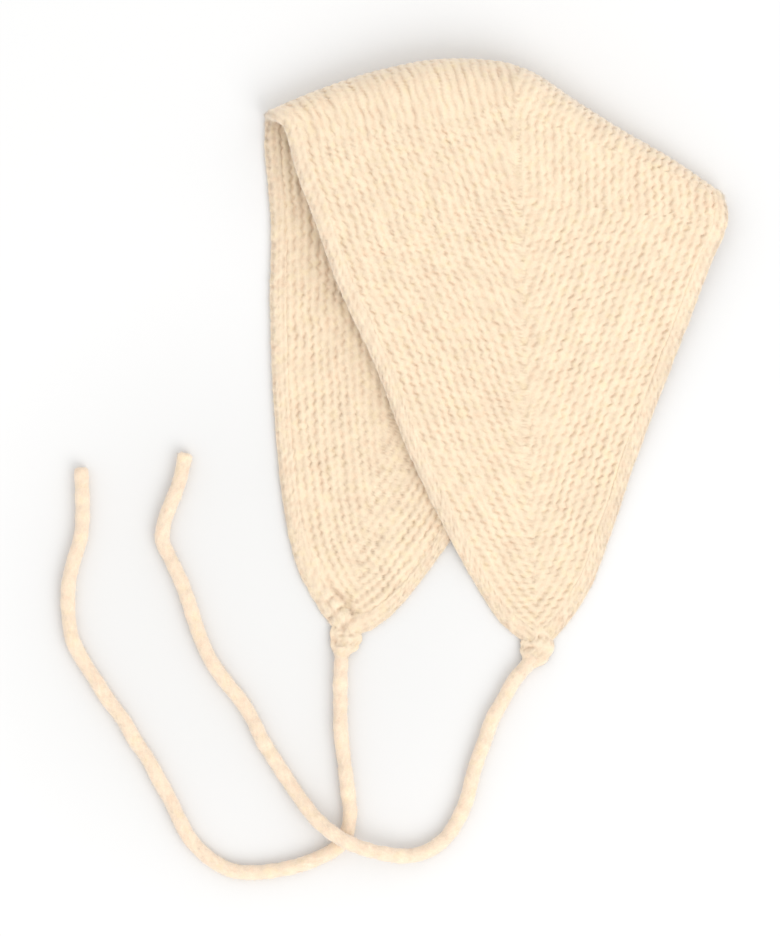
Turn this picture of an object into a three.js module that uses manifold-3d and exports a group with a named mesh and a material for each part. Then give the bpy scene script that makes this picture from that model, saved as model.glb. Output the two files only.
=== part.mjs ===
// A baby bonnet, hand-knitted in garter stitch, with a pointed ear flap and a felted tie on each side.
// It lies on its side, folded flat along its middle: the near half is on top, and the far half lies
// under it and swings out to the left, so that its inside shows through the face opening.
//
// Each half is two triangular panels, one from the face edge and one from the nape edge. Their rows run
// from a mitre line, which climbs from the ear tip to the crown, over the fold and on into the other half.
// A place on a panel has a level, 0 at the edge and 1 at the crown, and a run, 0 at the fold and 1 at the
// mitre. All lengths are millimetres and all angles degrees. +X is right, +Y up the picture, +Z upwards.

import * as THREE from "three";
import { mergeVertices } from "three/addons/utils/BufferGeometryUtils.js";
import Module from "manifold-3d";

const wasm = await Module();
wasm.setup();

// The fold over the top of the head, and the two ear tips.
const fold_chord = 190;
const fold_slope = -10;
const fold_rise = 36.5;
const crown_share = 0.52;
const near_drop = 238.7;
const near_swing = 2;
const far_drop = 244.7;
const far_swing = -17.2;

// How far each edge bellies out of the straight line between its two ends.
const near_face_belly = 12;
const near_nape_belly = 9;
const far_face_belly = 15;
const far_nape_belly = 9;

// The fold stands up: its outermost line, how deep it curves, and how the upper half is puffed by air.
const crest_height = 11;
const fold_round = 14;
const crown_loft = 21;
const loft_reach = 200;

// The knitting.
const wall = 2.5;
const ridge_pitch = 3.4;
const ridge_height = 0.45;
const edging_width = 4.6;
const edging_thickness = 3.2;
const clearance = 0.4;
const layer_gap = 0.8;
const drape_length = 24;

// The gathered tips and the ties.
const gather_length = 11;
const gather_cover = 6;
const gather_width = 9.4;
const gather_height = 6.6;
const gather_lobe = 0.06;
const gather_lobes = 6;
const gather_sink = 0.6;
const near_gather_turn = -40;
const far_gather_turn = -2;
const rim_at_tip = 1.6;
const tie_diameter = 6;
const tie_step = 2;
const tie_sides = 5;

const wool = new THREE.Color("#fbe7cb");
const wool_edge = new THREE.Color("#fff0d4");
const felt = new THREE.Color("#fde6cc");

// The fold from the forehead to the nape. along and rise are shares of the chord and of fold_rise, crest
// of crest_height, round of fold_round and loft of crown_loft.
const FOLD = [
  { along: 0.0, rise: 0.0, crest: 0.6, round: 0.45, loft: 0.5 },
  { along: 0.035, rise: 0.2, crest: 0.62, round: 0.5, loft: 0.53 },
  { along: 0.1, rise: 0.36, crest: 0.68, round: 0.58, loft: 0.6 },
  { along: 0.22, rise: 0.68, crest: 0.8, round: 0.75, loft: 0.75 },
  { along: 0.36, rise: 0.94, crest: 0.94, round: 0.92, loft: 0.92 },
  { along: 0.52, rise: 1.0, crest: 1.0, round: 1.0, loft: 1.0 },
  { along: 0.66, rise: 0.755, crest: 0.92, round: 0.92, loft: 0.8 },
  { along: 0.76, rise: 0.545, crest: 0.82, round: 0.8, loft: 0.62 },
  { along: 0.88, rise: 0.28, crest: 0.68, round: 0.62, loft: 0.42 },
  { along: 1.0, rise: 0.0, crest: 0.55, round: 0.45, loft: 0.28 },
];

// The belly of each edge from the fold to the tip: run is the share of the way, out the share of the
// named belly.
const NEAR_FACE_EDGE = [
  { run: 0.0, out: 0.0 },
  { run: 0.03, out: -0.42 },
  { run: 0.1, out: -0.02 },
  { run: 0.3, out: 0.52 },
  { run: 0.45, out: 0.56 },
  { run: 0.6, out: 0.86 },
  { run: 0.72, out: 0.92 },
  { run: 0.84, out: 0.86 },
  { run: 0.93, out: 0.55 },
  { run: 1.0, out: 0.0 },
];
const NEAR_NAPE_EDGE = [
  { run: 0.0, out: 0.0 },
  { run: 0.1, out: 0.85 },
  { run: 0.3, out: 1.02 },
  { run: 0.55, out: 0.98 },
  { run: 0.72, out: 1.05 },
  { run: 0.85, out: 1.05 },
  { run: 0.94, out: 0.75 },
  { run: 1.0, out: 0.0 },
];
const FAR_FACE_EDGE = [
  { run: 0.0, out: 0.0 },
  { run: 0.05, out: 0.35 },
  { run: 0.2, out: 0.5 },
  { run: 0.35, out: 0.75 },
  { run: 0.55, out: 0.98 },
  { run: 0.72, out: 1.05 },
  { run: 0.84, out: 0.95 },
  { run: 0.93, out: 0.65 },
  { run: 1.0, out: 0.0 },
];
const FAR_NAPE_EDGE = [
  { run: 0.0, out: 0.0 },
  { run: 0.3, out: 0.1 },
  { run: 0.6, out: 0.5 },
  { run: 0.75, out: 1.05 },
  { run: 0.88, out: 1.3 },
  { run: 0.95, out: 1.05 },
  { run: 1.0, out: 0.0 },
];

// The routes of the ties from the end of their gather, each point [right, up, share of the lift by
// which the near tie passes over the far one].
const NEAR_TIE_ROUTE = [
  [0, 0, 0], [-6.5, -7.5, 0], [-11, -15.5, 0], [-15.5, -23.5, 0], [-18.5, -32, 0], [-21.5, -40, 0],
  [-24, -48.5, 0], [-26, -56.5, 0], [-29.5, -64.5, 0], [-34.5, -72, 0.02], [-42, -77.5, 0.12],
  [-51, -79.5, 0.38], [-61.5, -78, 0.76], [-71.5, -75, 1], [-80, -70.5, 0.98], [-87.5, -64.5, 0.62],
  [-94, -56.5, 0.22], [-99.5, -48.5, 0.04], [-105, -40, 0], [-110, -32, 0], [-114, -23.5, 0],
  [-119, -15.5, 0], [-125.5, -7.5, 0], [-131, 0.5, 0], [-135, 9, 0], [-138, 17.5, 0],
  [-140.5, 25.5, 0], [-143.5, 33.5, 0], [-147.5, 42, 0], [-151, 50, 0], [-150, 58.5, 0],
  [-147, 66.5, 0], [-144, 74.5, 0], [-141.5, 86, 0],
];
const FAR_TIE_ROUTE = [
  [0, 0, 0], [-0.5, -11, 0], [-0.5, -19, 0], [-0.5, -27.5, 0], [0, -35.5, 0], [1, -43.5, 0],
  [2, -52, 0], [3, -60, 0], [3.5, -66.5, 0], [1.5, -75.5, 0], [-3, -80.5, 0], [-9.5, -84, 0],
  [-17.5, -87, 0], [-26.5, -89, 0], [-36, -90, 0], [-45.5, -89, 0], [-54.5, -84, 0],
  [-62, -76.5, 0], [-66.5, -68.5, 0], [-70.5, -60, 0], [-75, -52, 0], [-79.5, -43.5, 0],
  [-85, -35.5, 0], [-89.5, -27.5, 0], [-96, -19, 0], [-101, -11, 0], [-106.5, -2.5, 0],
  [-110.5, 5.5, 0], [-112, 13.5, 0], [-112.5, 22, 0], [-112, 30, 0], [-110, 38.5, 0],
  [-107.5, 46.5, 0], [-106.5, 54.5, 0], [-106.5, 63, 0], [-107, 76.5, 0],
];

const radians = THREE.MathUtils.degToRad;
const mix = THREE.MathUtils.lerp;
const smooth = THREE.MathUtils.smoothstep;

// The value in a table's column at a place, on a smooth curve through its rows.
function read(table, place, column, at) {
  let row = 0;
  while (row < table.length - 2 && table[row + 1][place] < at) row += 1;
  const slope = (index) => {
    const before = table[Math.max(0, index - 1)];
    const after = table[Math.min(table.length - 1, index + 1)];
    return (after[column] - before[column]) / (after[place] - before[place]);
  };
  const [low, high] = [table[row], table[row + 1]];
  const step = high[place] - low[place];
  const share = THREE.MathUtils.clamp((at - low[place]) / step, 0, 1);
  const ease = share * share * (3 - 2 * share);
  const leave = step * slope(row) * share * (1 - share) ** 2;
  const arrive = step * slope(row + 1) * share * share * (share - 1);
  return mix(low[column], high[column], ease) + leave + arrive;
}

// The outermost line of the fold, seen from above, with the forehead corner at the drawing's origin.
function foldLine(along) {
  const chord = new THREE.Vector2(fold_chord * along, 0);
  chord.y = fold_rise * read(FOLD, "along", "rise", along);
  return chord.rotateAround(new THREE.Vector2(), radians(fold_slope));
}

const crown = foldLine(crown_share);

function tipOf(drop, swing) {
  const down = new THREE.Vector2(0, -drop).rotateAround(new THREE.Vector2(), radians(swing));
  return down.add(crown);
}

// A panel reaches from the fold at start, 0 the forehead and 1 the nape, to its ear tip.
function makePanel(near, start, tip, belly, edge) {
  const corner = foldLine(start);
  const side = tip.clone().sub(corner).normalize();
  const outward = start === 0 ? new THREE.Vector2(side.y, -side.x) : new THREE.Vector2(-side.y, side.x);
  const toCrown = crown.clone().sub(corner);
  return { near, start, tip, belly, edge, corner, side, outward, band: -toCrown.dot(outward) };
}

const near_tip = tipOf(near_drop, near_swing);
const far_tip = tipOf(far_drop, far_swing);
const near_face = makePanel(true, 0, near_tip, near_face_belly, NEAR_FACE_EDGE);
const near_nape = makePanel(true, 1, near_tip, near_nape_belly, NEAR_NAPE_EDGE);
const far_face = makePanel(false, 0, far_tip, far_face_belly, FAR_FACE_EDGE);
const far_nape = makePanel(false, 1, far_tip, far_nape_belly, FAR_NAPE_EDGE);

// A place on a panel seen from above.
function plan(panel, run, level) {
  const from = foldLine(mix(panel.start, crown_share, level));
  const mitre = panel.tip.clone().lerp(crown, level);
  const out = panel.belly * read(panel.edge, "run", "out", run) * (1 - level);
  return from.lerp(mitre, run).addScaledVector(panel.outward, out);
}

// How much of the far half's thickness lies under a spot: 1 inside its nape edge, 0 well beyond it.
function underlay(spot) {
  const length = far_nape.tip.distanceTo(far_nape.corner);
  const offset = spot.clone().sub(far_nape.corner);
  const run = THREE.MathUtils.clamp(offset.dot(far_nape.side) / length, 0, 1);
  const edge = far_nape.belly * read(FAR_NAPE_EDGE, "run", "out", run);
  return smooth(edge - offset.dot(far_nape.outward), -drape_length, 0);
}

// The middle of the wall in space: it stands on a quarter ellipse at the fold, then lies down.
function middle(panel, run, level) {
  const along = mix(panel.start, crown_share, level);
  const spot = plan(panel, run, level);
  const column = (name) => mix(
    read(FOLD, "along", name, along), read(FOLD, "along", name, crown_share), run);
  const reach = run * (1 - level) * near_drop;
  const turn = Math.min(1, reach / (fold_round * column("round")));
  const bend = Math.sqrt(1 - (1 - turn) ** 2);
  const crest = crest_height * column("crest");
  let lie = wall / 2;
  if (panel.near) {
    const puff = Math.max(0, 1 - reach / loft_reach) ** 1.6;
    lie += (wall + layer_gap) * underlay(spot) + crown_loft * column("loft") * puff;
  }
  return new THREE.Vector3(spot.x, spot.y, mix(crest, lie, bend));
}

// A row has points round the bend, then at these shares of the way from the fold to the ear tip.
const bend_steps = 4;
const shortest_step = 0.02;
const STATIONS = [0.11, 0.2, 0.31, 0.43, 0.55, 0.67, 0.77, 0.85, 0.91, 0.955, 0.985];

// The runs of a row's points on one panel, from the fold out to the mitre.
function runsOf(panel, levelAt, end) {
  const along = mix(panel.start, crown_share, levelAt(0));
  const length = 1 - levelAt(0);
  const bend = (fold_round * read(FOLD, "along", "round", along)) / near_drop;
  const runs = [];
  for (let step = 0; step <= bend_steps; step += 1) {
    runs.push((bend / length) * (1 - Math.cos((Math.PI / 2) * (step / bend_steps))));
  }
  STATIONS.forEach((share) => runs.push(share / (1 - levelAt(Math.min(1, share / length)))));
  return [...runs.filter((run) => run < end - shortest_step), end];
}

// The level of the knitted shell's rim, inside the edging. At the mitre both panels share one value.
function rimLevel(panel, run) {
  const width = edging_width + clearance;
  const twin = panel.start === 0 ? near_face : near_nape;
  return mix(width / twin.band, (rim_at_tip * width) / near_drop, smooth(run, 0.8, 1));
}

const RING = [
  { panel: near_face, outwards: false },
  { panel: far_face, outwards: true },
  { panel: far_nape, outwards: false },
  { panel: near_nape, outwards: true },
];

// The four quarters of one row loop, from the near mitre over the fold to the far mitre and back.
function loopAt(share) {
  return RING.map(({ panel, outwards }) => {
    const levelAt = (run) => mix(rimLevel(panel, run), 1, share);
    const runs = runsOf(panel, levelAt, 1);
    if (!outwards) runs.reverse();
    return runs.map((run) => ({ panel, run, level: levelAt(run), reach: run * (1 - levelAt(run)) }));
  });
}

// Triangles between two neighbouring quarters, always stepping to the nearer next point.
function bridge(lower, upper, triangles) {
  let [a, b] = [0, 0];
  const rising = lower[0].reach < lower[lower.length - 1].reach;
  const ahead = (one, other) => (rising ? one.reach <= other.reach : one.reach >= other.reach);
  while (a < lower.length - 1 || b < upper.length - 1) {
    const room = a < lower.length - 1;
    if (b === upper.length - 1 || (room && ahead(lower[a + 1], upper[b + 1]))) {
      triangles.push([lower[a + 1].index, lower[a].index, upper[b].index]);
      a += 1;
    } else {
      triangles.push([upper[b + 1].index, lower[a].index, upper[b].index]);
      b += 1;
    }
  }
}

function meshOf(points, triangles) {
  const geometry = new THREE.BufferGeometry();
  geometry.setAttribute("position", new THREE.Float32BufferAttribute(points.flatMap((p) => [...p]), 3));
  geometry.setIndex(triangles.flat());
  return geometry;
}

// Nothing reaches below the surface that the bonnet lies on.
function lifted(point) {
  point.z = Math.max(0, point.z);
  return point;
}

// The closed knitted shell: rows of ridges outside and inside, joined round the rim. The underside,
// pressed by its own weight, is flat.
function knitShell() {
  const rows = 2 * Math.round((near_face.band - edging_width) / ridge_pitch);
  const points = [];
  const ridges = [];
  const presses = [];
  const loops = [];
  for (let row = 0; row < rows; row += 1) {
    const loop = loopAt(row / rows);
    const first = points.length;
    loop.forEach((quarter, corner) => {
      quarter.forEach((place, step) => {
        const last = step === quarter.length - 1;
        place.index = last && corner === RING.length - 1 ? first : points.length;
        if (last) return;
        points.push(middle(place.panel, place.run, place.level));
        ridges.push(ridge_height * (row % 2 === 0 ? 1 : -1));
        presses.push(place.panel.near ? 0 : smooth(place.reach * near_drop, 0, fold_round));
      });
    });
    loops.push(loop);
  }
  points.push(middle(near_face, 0, 1));
  ridges.push(ridge_height);
  presses.push(0);
  const apex = points.length - 1;
  const sheet = [];
  for (let row = 0; row < rows - 1; row += 1) {
    RING.forEach((_, corner) => bridge(loops[row][corner], loops[row + 1][corner], sheet));
  }
  const openEnds = (loop) => loop.flatMap((quarter) => quarter.slice(0, -1));
  openEnds(loops[rows - 1]).forEach((place, step, all) => {
    sheet.push([all[(step + 1) % all.length].index, place.index, apex]);
  });
  const smoothed = meshOf(points, sheet);
  smoothed.computeVertexNormals();
  const normals = smoothed.getAttribute("normal");
  const offset = (point, index, distance) => {
    const normal = new THREE.Vector3().fromBufferAttribute(normals, index);
    return lifted(point.clone().addScaledVector(normal, distance));
  };
  const outer = points.map((p, i) => offset(p, i, wall / 2 + ridges[i] * (1 - presses[i])));
  const inner = points.map((p, i) => offset(p, i, ridges[i] - wall / 2));
  const shift = points.length;
  const all = sheet.map((t) => [...t]);
  sheet.forEach(([a, b, c]) => all.push([a + shift, c + shift, b + shift]));
  openEnds(loops[0]).forEach((place, step, rim) => {
    const next = rim[(step + 1) % rim.length].index;
    all.push([place.index, next, place.index + shift], [next, next + shift, place.index + shift]);
  });
  return meshOf([...outer, ...inner], all);
}

// The section of the edging: across and thick are shares of its half width and half thickness.
const EDGING_SECTION = [
  { across: 1, thick: 0.4 },
  { across: 0.6, thick: 0.95 },
  { across: -0.5, thick: 0.95 },
  { across: -1, thick: 0.4 },
  { across: -1, thick: -0.4 },
  { across: -0.5, thick: -0.95 },
  { across: 0.6, thick: -0.95 },
  { across: 1, thick: -0.4 },
];

// A closed band between rings of equal length, with a flat cap on each end.
function bandOf(rings) {
  const sides = rings[0].length;
  const triangles = [];
  for (let row = 0; row < rings.length - 1; row += 1) {
    for (let side = 0; side < sides; side += 1) {
      const [a, b] = [row * sides + side, row * sides + ((side + 1) % sides)];
      triangles.push([a, b + sides, b], [a, a + sides, b + sides]);
    }
  }
  const end = (rings.length - 1) * sides;
  for (let side = 1; side < sides - 1; side += 1) {
    triangles.push([0, side, side + 1], [end, end + side + 1, end + side]);
  }
  return meshOf(rings.flat(), triangles);
}

// The smooth edging along one edge, from the near ear tip over the fold to the far one.
function edging(near, far) {
  const end = 1 - (2 * clearance) / near_drop;
  const row = [
    ...runsOf(near, (run) => rimLevel(near, run), end).reverse().map((run) => ({ panel: near, run })),
    ...runsOf(far, (run) => rimLevel(far, run), end).slice(1).map((run) => ({ panel: far, run })),
  ];
  const share = edging_width / (edging_width + clearance);
  const lines = row.map(({ panel, run }) => ({
    outer: middle(panel, run, 0),
    inner: middle(panel, run, share * rimLevel(panel, run)),
  }));
  const centres = lines.map(({ outer, inner }) => outer.clone().lerp(inner, 0.5));
  const rings = lines.map(({ outer, inner }, step) => {
    const across = inner.clone().sub(outer).multiplyScalar(0.5);
    const before = centres[Math.max(0, step - 1)];
    const after = centres[Math.min(centres.length - 1, step + 1)];
    const out = across.clone().cross(after.clone().sub(before)).normalize();
    out.multiplyScalar(near.start === 0 ? 1 : -1);
    return EDGING_SECTION.map((corner) => lifted(centres[step].clone()
      .addScaledVector(across, corner.across)
      .addScaledVector(out, (edging_thickness / 2) * corner.thick)));
  });
  if (near.start === 1) rings.reverse();
  return bandOf(rings);
}

// The gathered end of an ear flap: a lobed lump, flat underneath, that the tie leaves.
function gatherPlace(tip, turn) {
  const axis = new THREE.Vector2(0, -1).rotateAround(new THREE.Vector2(), radians(turn));
  const centre = tip.clone().addScaledVector(axis, gather_length / 2 - gather_cover);
  const exit = centre.clone().addScaledVector(axis, gather_length / 2 + clearance);
  return { centre, exit, turn: radians(turn) };
}

function gather(place) {
  const lump = new THREE.SphereGeometry(1, 18, 10).rotateZ(place.turn);
  const along = new THREE.Vector3(0, 1, 0).applyAxisAngle(new THREE.Vector3(0, 0, 1), place.turn);
  const points = lump.getAttribute("position");
  for (let index = 0; index < points.count; index += 1) {
    const point = new THREE.Vector3().fromBufferAttribute(points, index);
    const axial = point.dot(along);
    const round = point.clone().addScaledVector(along, -axial);
    const angle = Math.atan2(round.z, round.x);
    const lobe = 1 + gather_lobe * Math.cos(gather_lobes * angle);
    const side = round.clone().multiply(new THREE.Vector3(gather_width, gather_width, gather_height));
    side.multiplyScalar(lobe / 2).addScaledVector(along, (axial * gather_length) / 2);
    side.add(new THREE.Vector3(place.centre.x, place.centre.y, gather_height / 2 - gather_sink));
    points.setXYZ(index, ...lifted(side));
  }
  return lump;
}

// The room that a gather takes out of the edgings and the shell, with its clearance.
function gatherRoom(place) {
  const grow = 1 + gather_lobe;
  const outline = new THREE.Shape();
  const across = (gather_width * grow) / 2 + clearance;
  const along = gather_length / 2 + clearance;
  outline.absellipse(0, 0, across, along, 0, 2 * Math.PI, false, place.turn);
  const depth = 4 * crest_height;
  const room = new THREE.ExtrudeGeometry(outline, { depth, bevelEnabled: false, curveSegments: 16 });
  return room.translate(place.centre.x, place.centre.y, -depth / 2);
}

function solidOf(geometry) {
  const bare = geometry.clone();
  bare.deleteAttribute("normal");
  bare.deleteAttribute("uv");
  const merged = mergeVertices(bare);
  return new wasm.Manifold(new wasm.Mesh({
    numProp: 3,
    vertProperties: new Float32Array(merged.getAttribute("position").array),
    triVerts: new Uint32Array(merged.index.array),
  }));
}

function cutBy(geometry, rooms) {
  const cut = rooms.reduce((solid, room) => solid.subtract(solidOf(room)), solidOf(geometry));
  const mesh = cut.getMesh();
  const result = new THREE.BufferGeometry();
  result.setAttribute("position", new THREE.BufferAttribute(mesh.vertProperties, 3));
  result.setIndex(new THREE.BufferAttribute(mesh.triVerts, 1));
  return result;
}

// A tie, a felted cord with bare ends, lying on the surface along its route.
function tie(exit, route) {
  const radius = tie_diameter / 2;
  const lift = tie_diameter + clearance;
  const path = new THREE.CatmullRomCurve3(route.map(([right, up, over]) => (
    new THREE.Vector3(exit.x + right, exit.y + up, radius + over * lift))));
  const outline = new THREE.Shape().absarc(0, 0, radius, 0, 2 * Math.PI);
  const steps = Math.round(path.getLength() / (tie_step * tie_diameter));
  return new THREE.ExtrudeGeometry(outline, {
    steps, curveSegments: tie_sides, extrudePath: path, bevelEnabled: false,
  });
}

function piece(name, geometry, color, roughness) {
  const mesh = new THREE.Mesh(geometry, new THREE.MeshStandardMaterial({ color, roughness, metalness: 0 }));
  mesh.name = name;
  return mesh;
}

const near_end = gatherPlace(near_tip, near_gather_turn);
const far_end = gatherPlace(far_tip, far_gather_turn);
const rooms = [gatherRoom(near_end), gatherRoom(far_end)];

const bonnet = new THREE.Group().add(
  piece("knit_shell", cutBy(knitShell(), rooms), wool, 0.95),
  piece("face_edging", cutBy(edging(near_face, far_face), rooms), wool_edge, 0.95),
  piece("nape_edging", cutBy(edging(near_nape, far_nape), rooms), wool_edge, 0.95),
  piece("near_tip_gather", gather(near_end), wool, 0.95),
  piece("far_tip_gather", gather(far_end), wool, 0.95),
);

// The origin is the middle of the bonnet's own box on the surface, without the ties.
const middle_of_box = new THREE.Box3().setFromObject(bonnet, true).getCenter(new THREE.Vector3());
const ties = new THREE.Group().add(
  piece("near_tie", tie(near_end.exit, NEAR_TIE_ROUTE), felt, 0.9),
  piece("far_tie", tie(far_end.exit, FAR_TIE_ROUTE), felt, 0.9),
);
const whole = new THREE.Group().add(bonnet, ties);
whole.position.set(-middle_of_box.x, -middle_of_box.y, 0);
export default whole;
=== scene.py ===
"""A hand-knitted baby bonnet of cream wool, lying folded flat on its side on a white surface.

Metres, +X right, +Y up the picture and +Z towards the viewer, in the part's own frame.
"""

import math

import bpy
import numpy as np
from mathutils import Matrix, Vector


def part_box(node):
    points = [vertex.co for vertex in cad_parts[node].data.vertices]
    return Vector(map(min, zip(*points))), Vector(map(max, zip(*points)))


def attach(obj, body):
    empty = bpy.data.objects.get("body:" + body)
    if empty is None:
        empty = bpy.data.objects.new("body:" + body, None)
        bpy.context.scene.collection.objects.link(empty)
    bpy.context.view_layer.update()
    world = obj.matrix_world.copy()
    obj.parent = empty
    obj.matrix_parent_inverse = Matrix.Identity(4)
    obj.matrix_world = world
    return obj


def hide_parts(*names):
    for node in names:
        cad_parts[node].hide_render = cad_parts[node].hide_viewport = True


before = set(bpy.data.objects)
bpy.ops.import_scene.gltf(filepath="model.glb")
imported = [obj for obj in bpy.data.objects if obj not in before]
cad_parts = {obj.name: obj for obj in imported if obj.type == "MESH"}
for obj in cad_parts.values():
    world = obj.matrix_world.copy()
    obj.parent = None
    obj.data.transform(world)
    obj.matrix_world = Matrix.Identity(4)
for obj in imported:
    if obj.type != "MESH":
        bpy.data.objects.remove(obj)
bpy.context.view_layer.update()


# The camera hangs straight above the bonnet and looks down through a long lens, so that what stands
# higher hardly leans outwards.
CAMERA_AIM = (-0.0413, -0.0436)
CAMERA_HEIGHT = 2.14
LENS = 200
PICTURE_HEIGHT = 36


def add_object(name, data):
    """A new object in the scene."""
    thing = bpy.data.objects.new(name, data)
    bpy.context.scene.collection.objects.link(thing)
    return thing


camera_lens = bpy.data.cameras.new("camera")
camera_lens.sensor_fit = "VERTICAL"
camera_lens.sensor_height = PICTURE_HEIGHT
camera_lens.lens = LENS
camera_lens.clip_end = 10
camera = add_object("camera", camera_lens)
camera.location = (*CAMERA_AIM, CAMERA_HEIGHT)
bpy.context.scene.camera = camera


# The two ties are soft felted wool cords, one sewn into the gathered tip of each ear flap. They lie
# limp on the surface with bare rounded ends, and the near tie passes once over the far one.
TIE_DIAMETER = 0.006
TIE_CLEARANCE = 0.0004
TIE_STEP = 0.0008
TIE_SIDES = 32
TIE_ROOT = 0.003
TIE_END_ROUND = 0.0012
TIE_END_FALL = 0.75
TIE_UNEVEN = 0.03
CURVE_STEPS = 24
FELT_RELIEF = 0.00005
# FELT_SHADE and RIB_SHADE: how much the colour darkens in the dips of the felt lumps and of the ribs, as
# painted shade.
FELT_SHADE = 0.2
FELT_SHIFTS = (0.004, 0.0031)
RIB_RELIEF = 0.00002
RIB_SHADE = 0.05
RIB_PITCH = 0.0034
RIB_TURN = 2.2
TIE_SHADE = 0.6
TIE_TONE = 0.4
TIE_FIBRES = 4000
FIBRE_LENGTHS = (0.0006, 0.0016)
FIBRE_RISES = (0.25, 0.9)
FIBRE_WIDTH = 0.00007
FIBRE_ROOT = 0.0002
FIBRE_LIGHT = 1.5
FIBRE_TONE = 0.6
LOWEST_FACING = -0.1
GATHER_LENGTH = 0.011
GATHER_COVER = 0.006
GATHER_CLEARANCE = 0.0004
NEAR_GATHER_TURN = math.radians(-40)
FAR_GATHER_TURN = math.radians(-2)

# Sets of waves: how many, the longest and the shortest.
TIE_WANDER = (9, 0.04, 0.006)
FELT_LUMPS = (14, 0.009, 0.0022)

# Each point is right, up and a share of the lift by which the near tie passes over the far one.
NEAR_TIE_ROUTE = np.array([
    (0, 0, 0), (-0.0065, -0.0075, 0), (-0.011, -0.0155, 0), (-0.0155, -0.0235, 0), (-0.0185, -0.032, 0),
    (-0.0215, -0.04, 0), (-0.024, -0.0485, 0), (-0.026, -0.0565, 0), (-0.0295, -0.0645, 0),
    (-0.0345, -0.072, 0.02), (-0.042, -0.0775, 0.12), (-0.051, -0.0795, 0.38), (-0.0615, -0.078, 0.76),
    (-0.0715, -0.075, 1), (-0.08, -0.0705, 0.98), (-0.0875, -0.0645, 0.62), (-0.094, -0.0565, 0.22),
    (-0.0995, -0.0485, 0.04), (-0.105, -0.04, 0), (-0.11, -0.032, 0), (-0.114, -0.0235, 0),
    (-0.119, -0.0155, 0), (-0.1255, -0.0075, 0), (-0.131, 0.0005, 0), (-0.135, 0.009, 0),
    (-0.138, 0.0175, 0), (-0.1405, 0.0255, 0), (-0.1435, 0.0335, 0), (-0.1475, 0.042, 0),
    (-0.151, 0.05, 0), (-0.15, 0.0585, 0), (-0.147, 0.0665, 0), (-0.144, 0.0745, 0),
    (-0.1415, 0.086, 0),
])
FAR_TIE_ROUTE = np.array([
    (0, 0, 0), (-0.0005, -0.011, 0), (-0.0005, -0.019, 0), (-0.0005, -0.0275, 0), (0, -0.0355, 0),
    (0.001, -0.0435, 0), (0.002, -0.052, 0), (0.003, -0.06, 0), (0.0035, -0.0665, 0),
    (0.0015, -0.0755, 0), (-0.003, -0.0805, 0), (-0.0095, -0.084, 0), (-0.0175, -0.087, 0),
    (-0.0265, -0.089, 0), (-0.036, -0.09, 0), (-0.0455, -0.089, 0), (-0.0545, -0.084, 0),
    (-0.062, -0.0765, 0), (-0.0665, -0.0685, 0), (-0.0705, -0.06, 0), (-0.075, -0.052, 0),
    (-0.0795, -0.0435, 0), (-0.085, -0.0355, 0), (-0.0895, -0.0275, 0), (-0.096, -0.019, 0),
    (-0.101, -0.011, 0), (-0.1065, -0.0025, 0), (-0.1105, 0.0055, 0), (-0.112, 0.0135, 0),
    (-0.1125, 0.022, 0), (-0.112, 0.03, 0), (-0.11, 0.0385, 0), (-0.1075, 0.0465, 0),
    (-0.1065, 0.0545, 0), (-0.1065, 0.063, 0), (-0.107, 0.0765, 0),
])


def gather_ends(name, turn):
    """The exit of a tie and the direction it leaves in, from the box of its gathered tip.

    The exit lies half the gather's length and its clearance beyond the middle of the box."""
    low, high = (np.array(corner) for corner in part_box(name))
    axis = np.array([math.sin(turn), -math.cos(turn)])
    middle = (low + high)[:2] / 2
    return middle, middle + axis * (GATHER_LENGTH / 2 + GATHER_CLEARANCE), axis


def waves(seed, count, longest, shortest):
    """A seeded smooth wander along a line: a sum of sines of random wavelength and phase, about -1 to 1."""
    rng = np.random.default_rng(seed)
    lengths = np.exp(rng.uniform(math.log(shortest), math.log(longest), count))
    phases = rng.uniform(0, 2 * math.pi, count)

    def at(place):
        place = np.asarray(place, float)[..., None]
        return np.sin(2 * math.pi * place / lengths + phases).sum(-1) / math.sqrt(count)
    return at


def smooth(value, low, high):
    """0 below low, 1 above high and a smooth cubic step between them."""
    share = np.clip((value - low) / (high - low), 0, 1)
    return share * share * (3 - 2 * share)


def mesh_piece(name, points, faces, material, body_slot, normals=None, **values):
    """A finished piece of the object from its points and faces, shaded smooth, with its named values."""
    mesh = bpy.data.meshes.new(name)
    mesh.vertices.add(len(points))
    mesh.vertices.foreach_set("co", np.asarray(points, np.float32).ravel())
    mesh.loops.add(faces.size)
    mesh.loops.foreach_set("vertex_index", np.asarray(faces, np.int32).ravel())
    mesh.polygons.add(len(faces))
    mesh.polygons.foreach_set("loop_start", np.arange(0, faces.size, faces.shape[1], dtype=np.int32))
    mesh.update(calc_edges=True)
    mesh.polygons.foreach_set("use_smooth", np.ones(len(faces), bool))
    for key, value in values.items():
        mesh.attributes.new(key, "FLOAT", "POINT").data.foreach_set("value", np.asarray(value, np.float32))
    if normals is not None:
        mesh.normals_split_custom_set_from_vertices(normals)
    mesh.materials.append(material)
    piece = add_object(name, mesh)
    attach(piece, "root")
    return piece


def unit(vectors):
    """Each vector at a length of 1."""
    return vectors / np.maximum(np.linalg.norm(vectors, axis=-1, keepdims=True), 1e-12)


def run_along(line):
    """The length run along a line of points, up to each of them."""
    return np.concatenate([[0], np.cumsum(np.linalg.norm(np.diff(line, axis=0), axis=1))])


def rings_about(line, across, up, wide, high):
    """Rings of points about a line: each of its points, moved across by wide and up by high, and none
    below the surface that the bonnet lies on."""
    points = line[:, None, :] + across[:, None, :] * wide[..., None] + up[:, None, :] * high[..., None]
    points[..., 2] = np.maximum(points[..., 2], 0)
    return points


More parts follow.
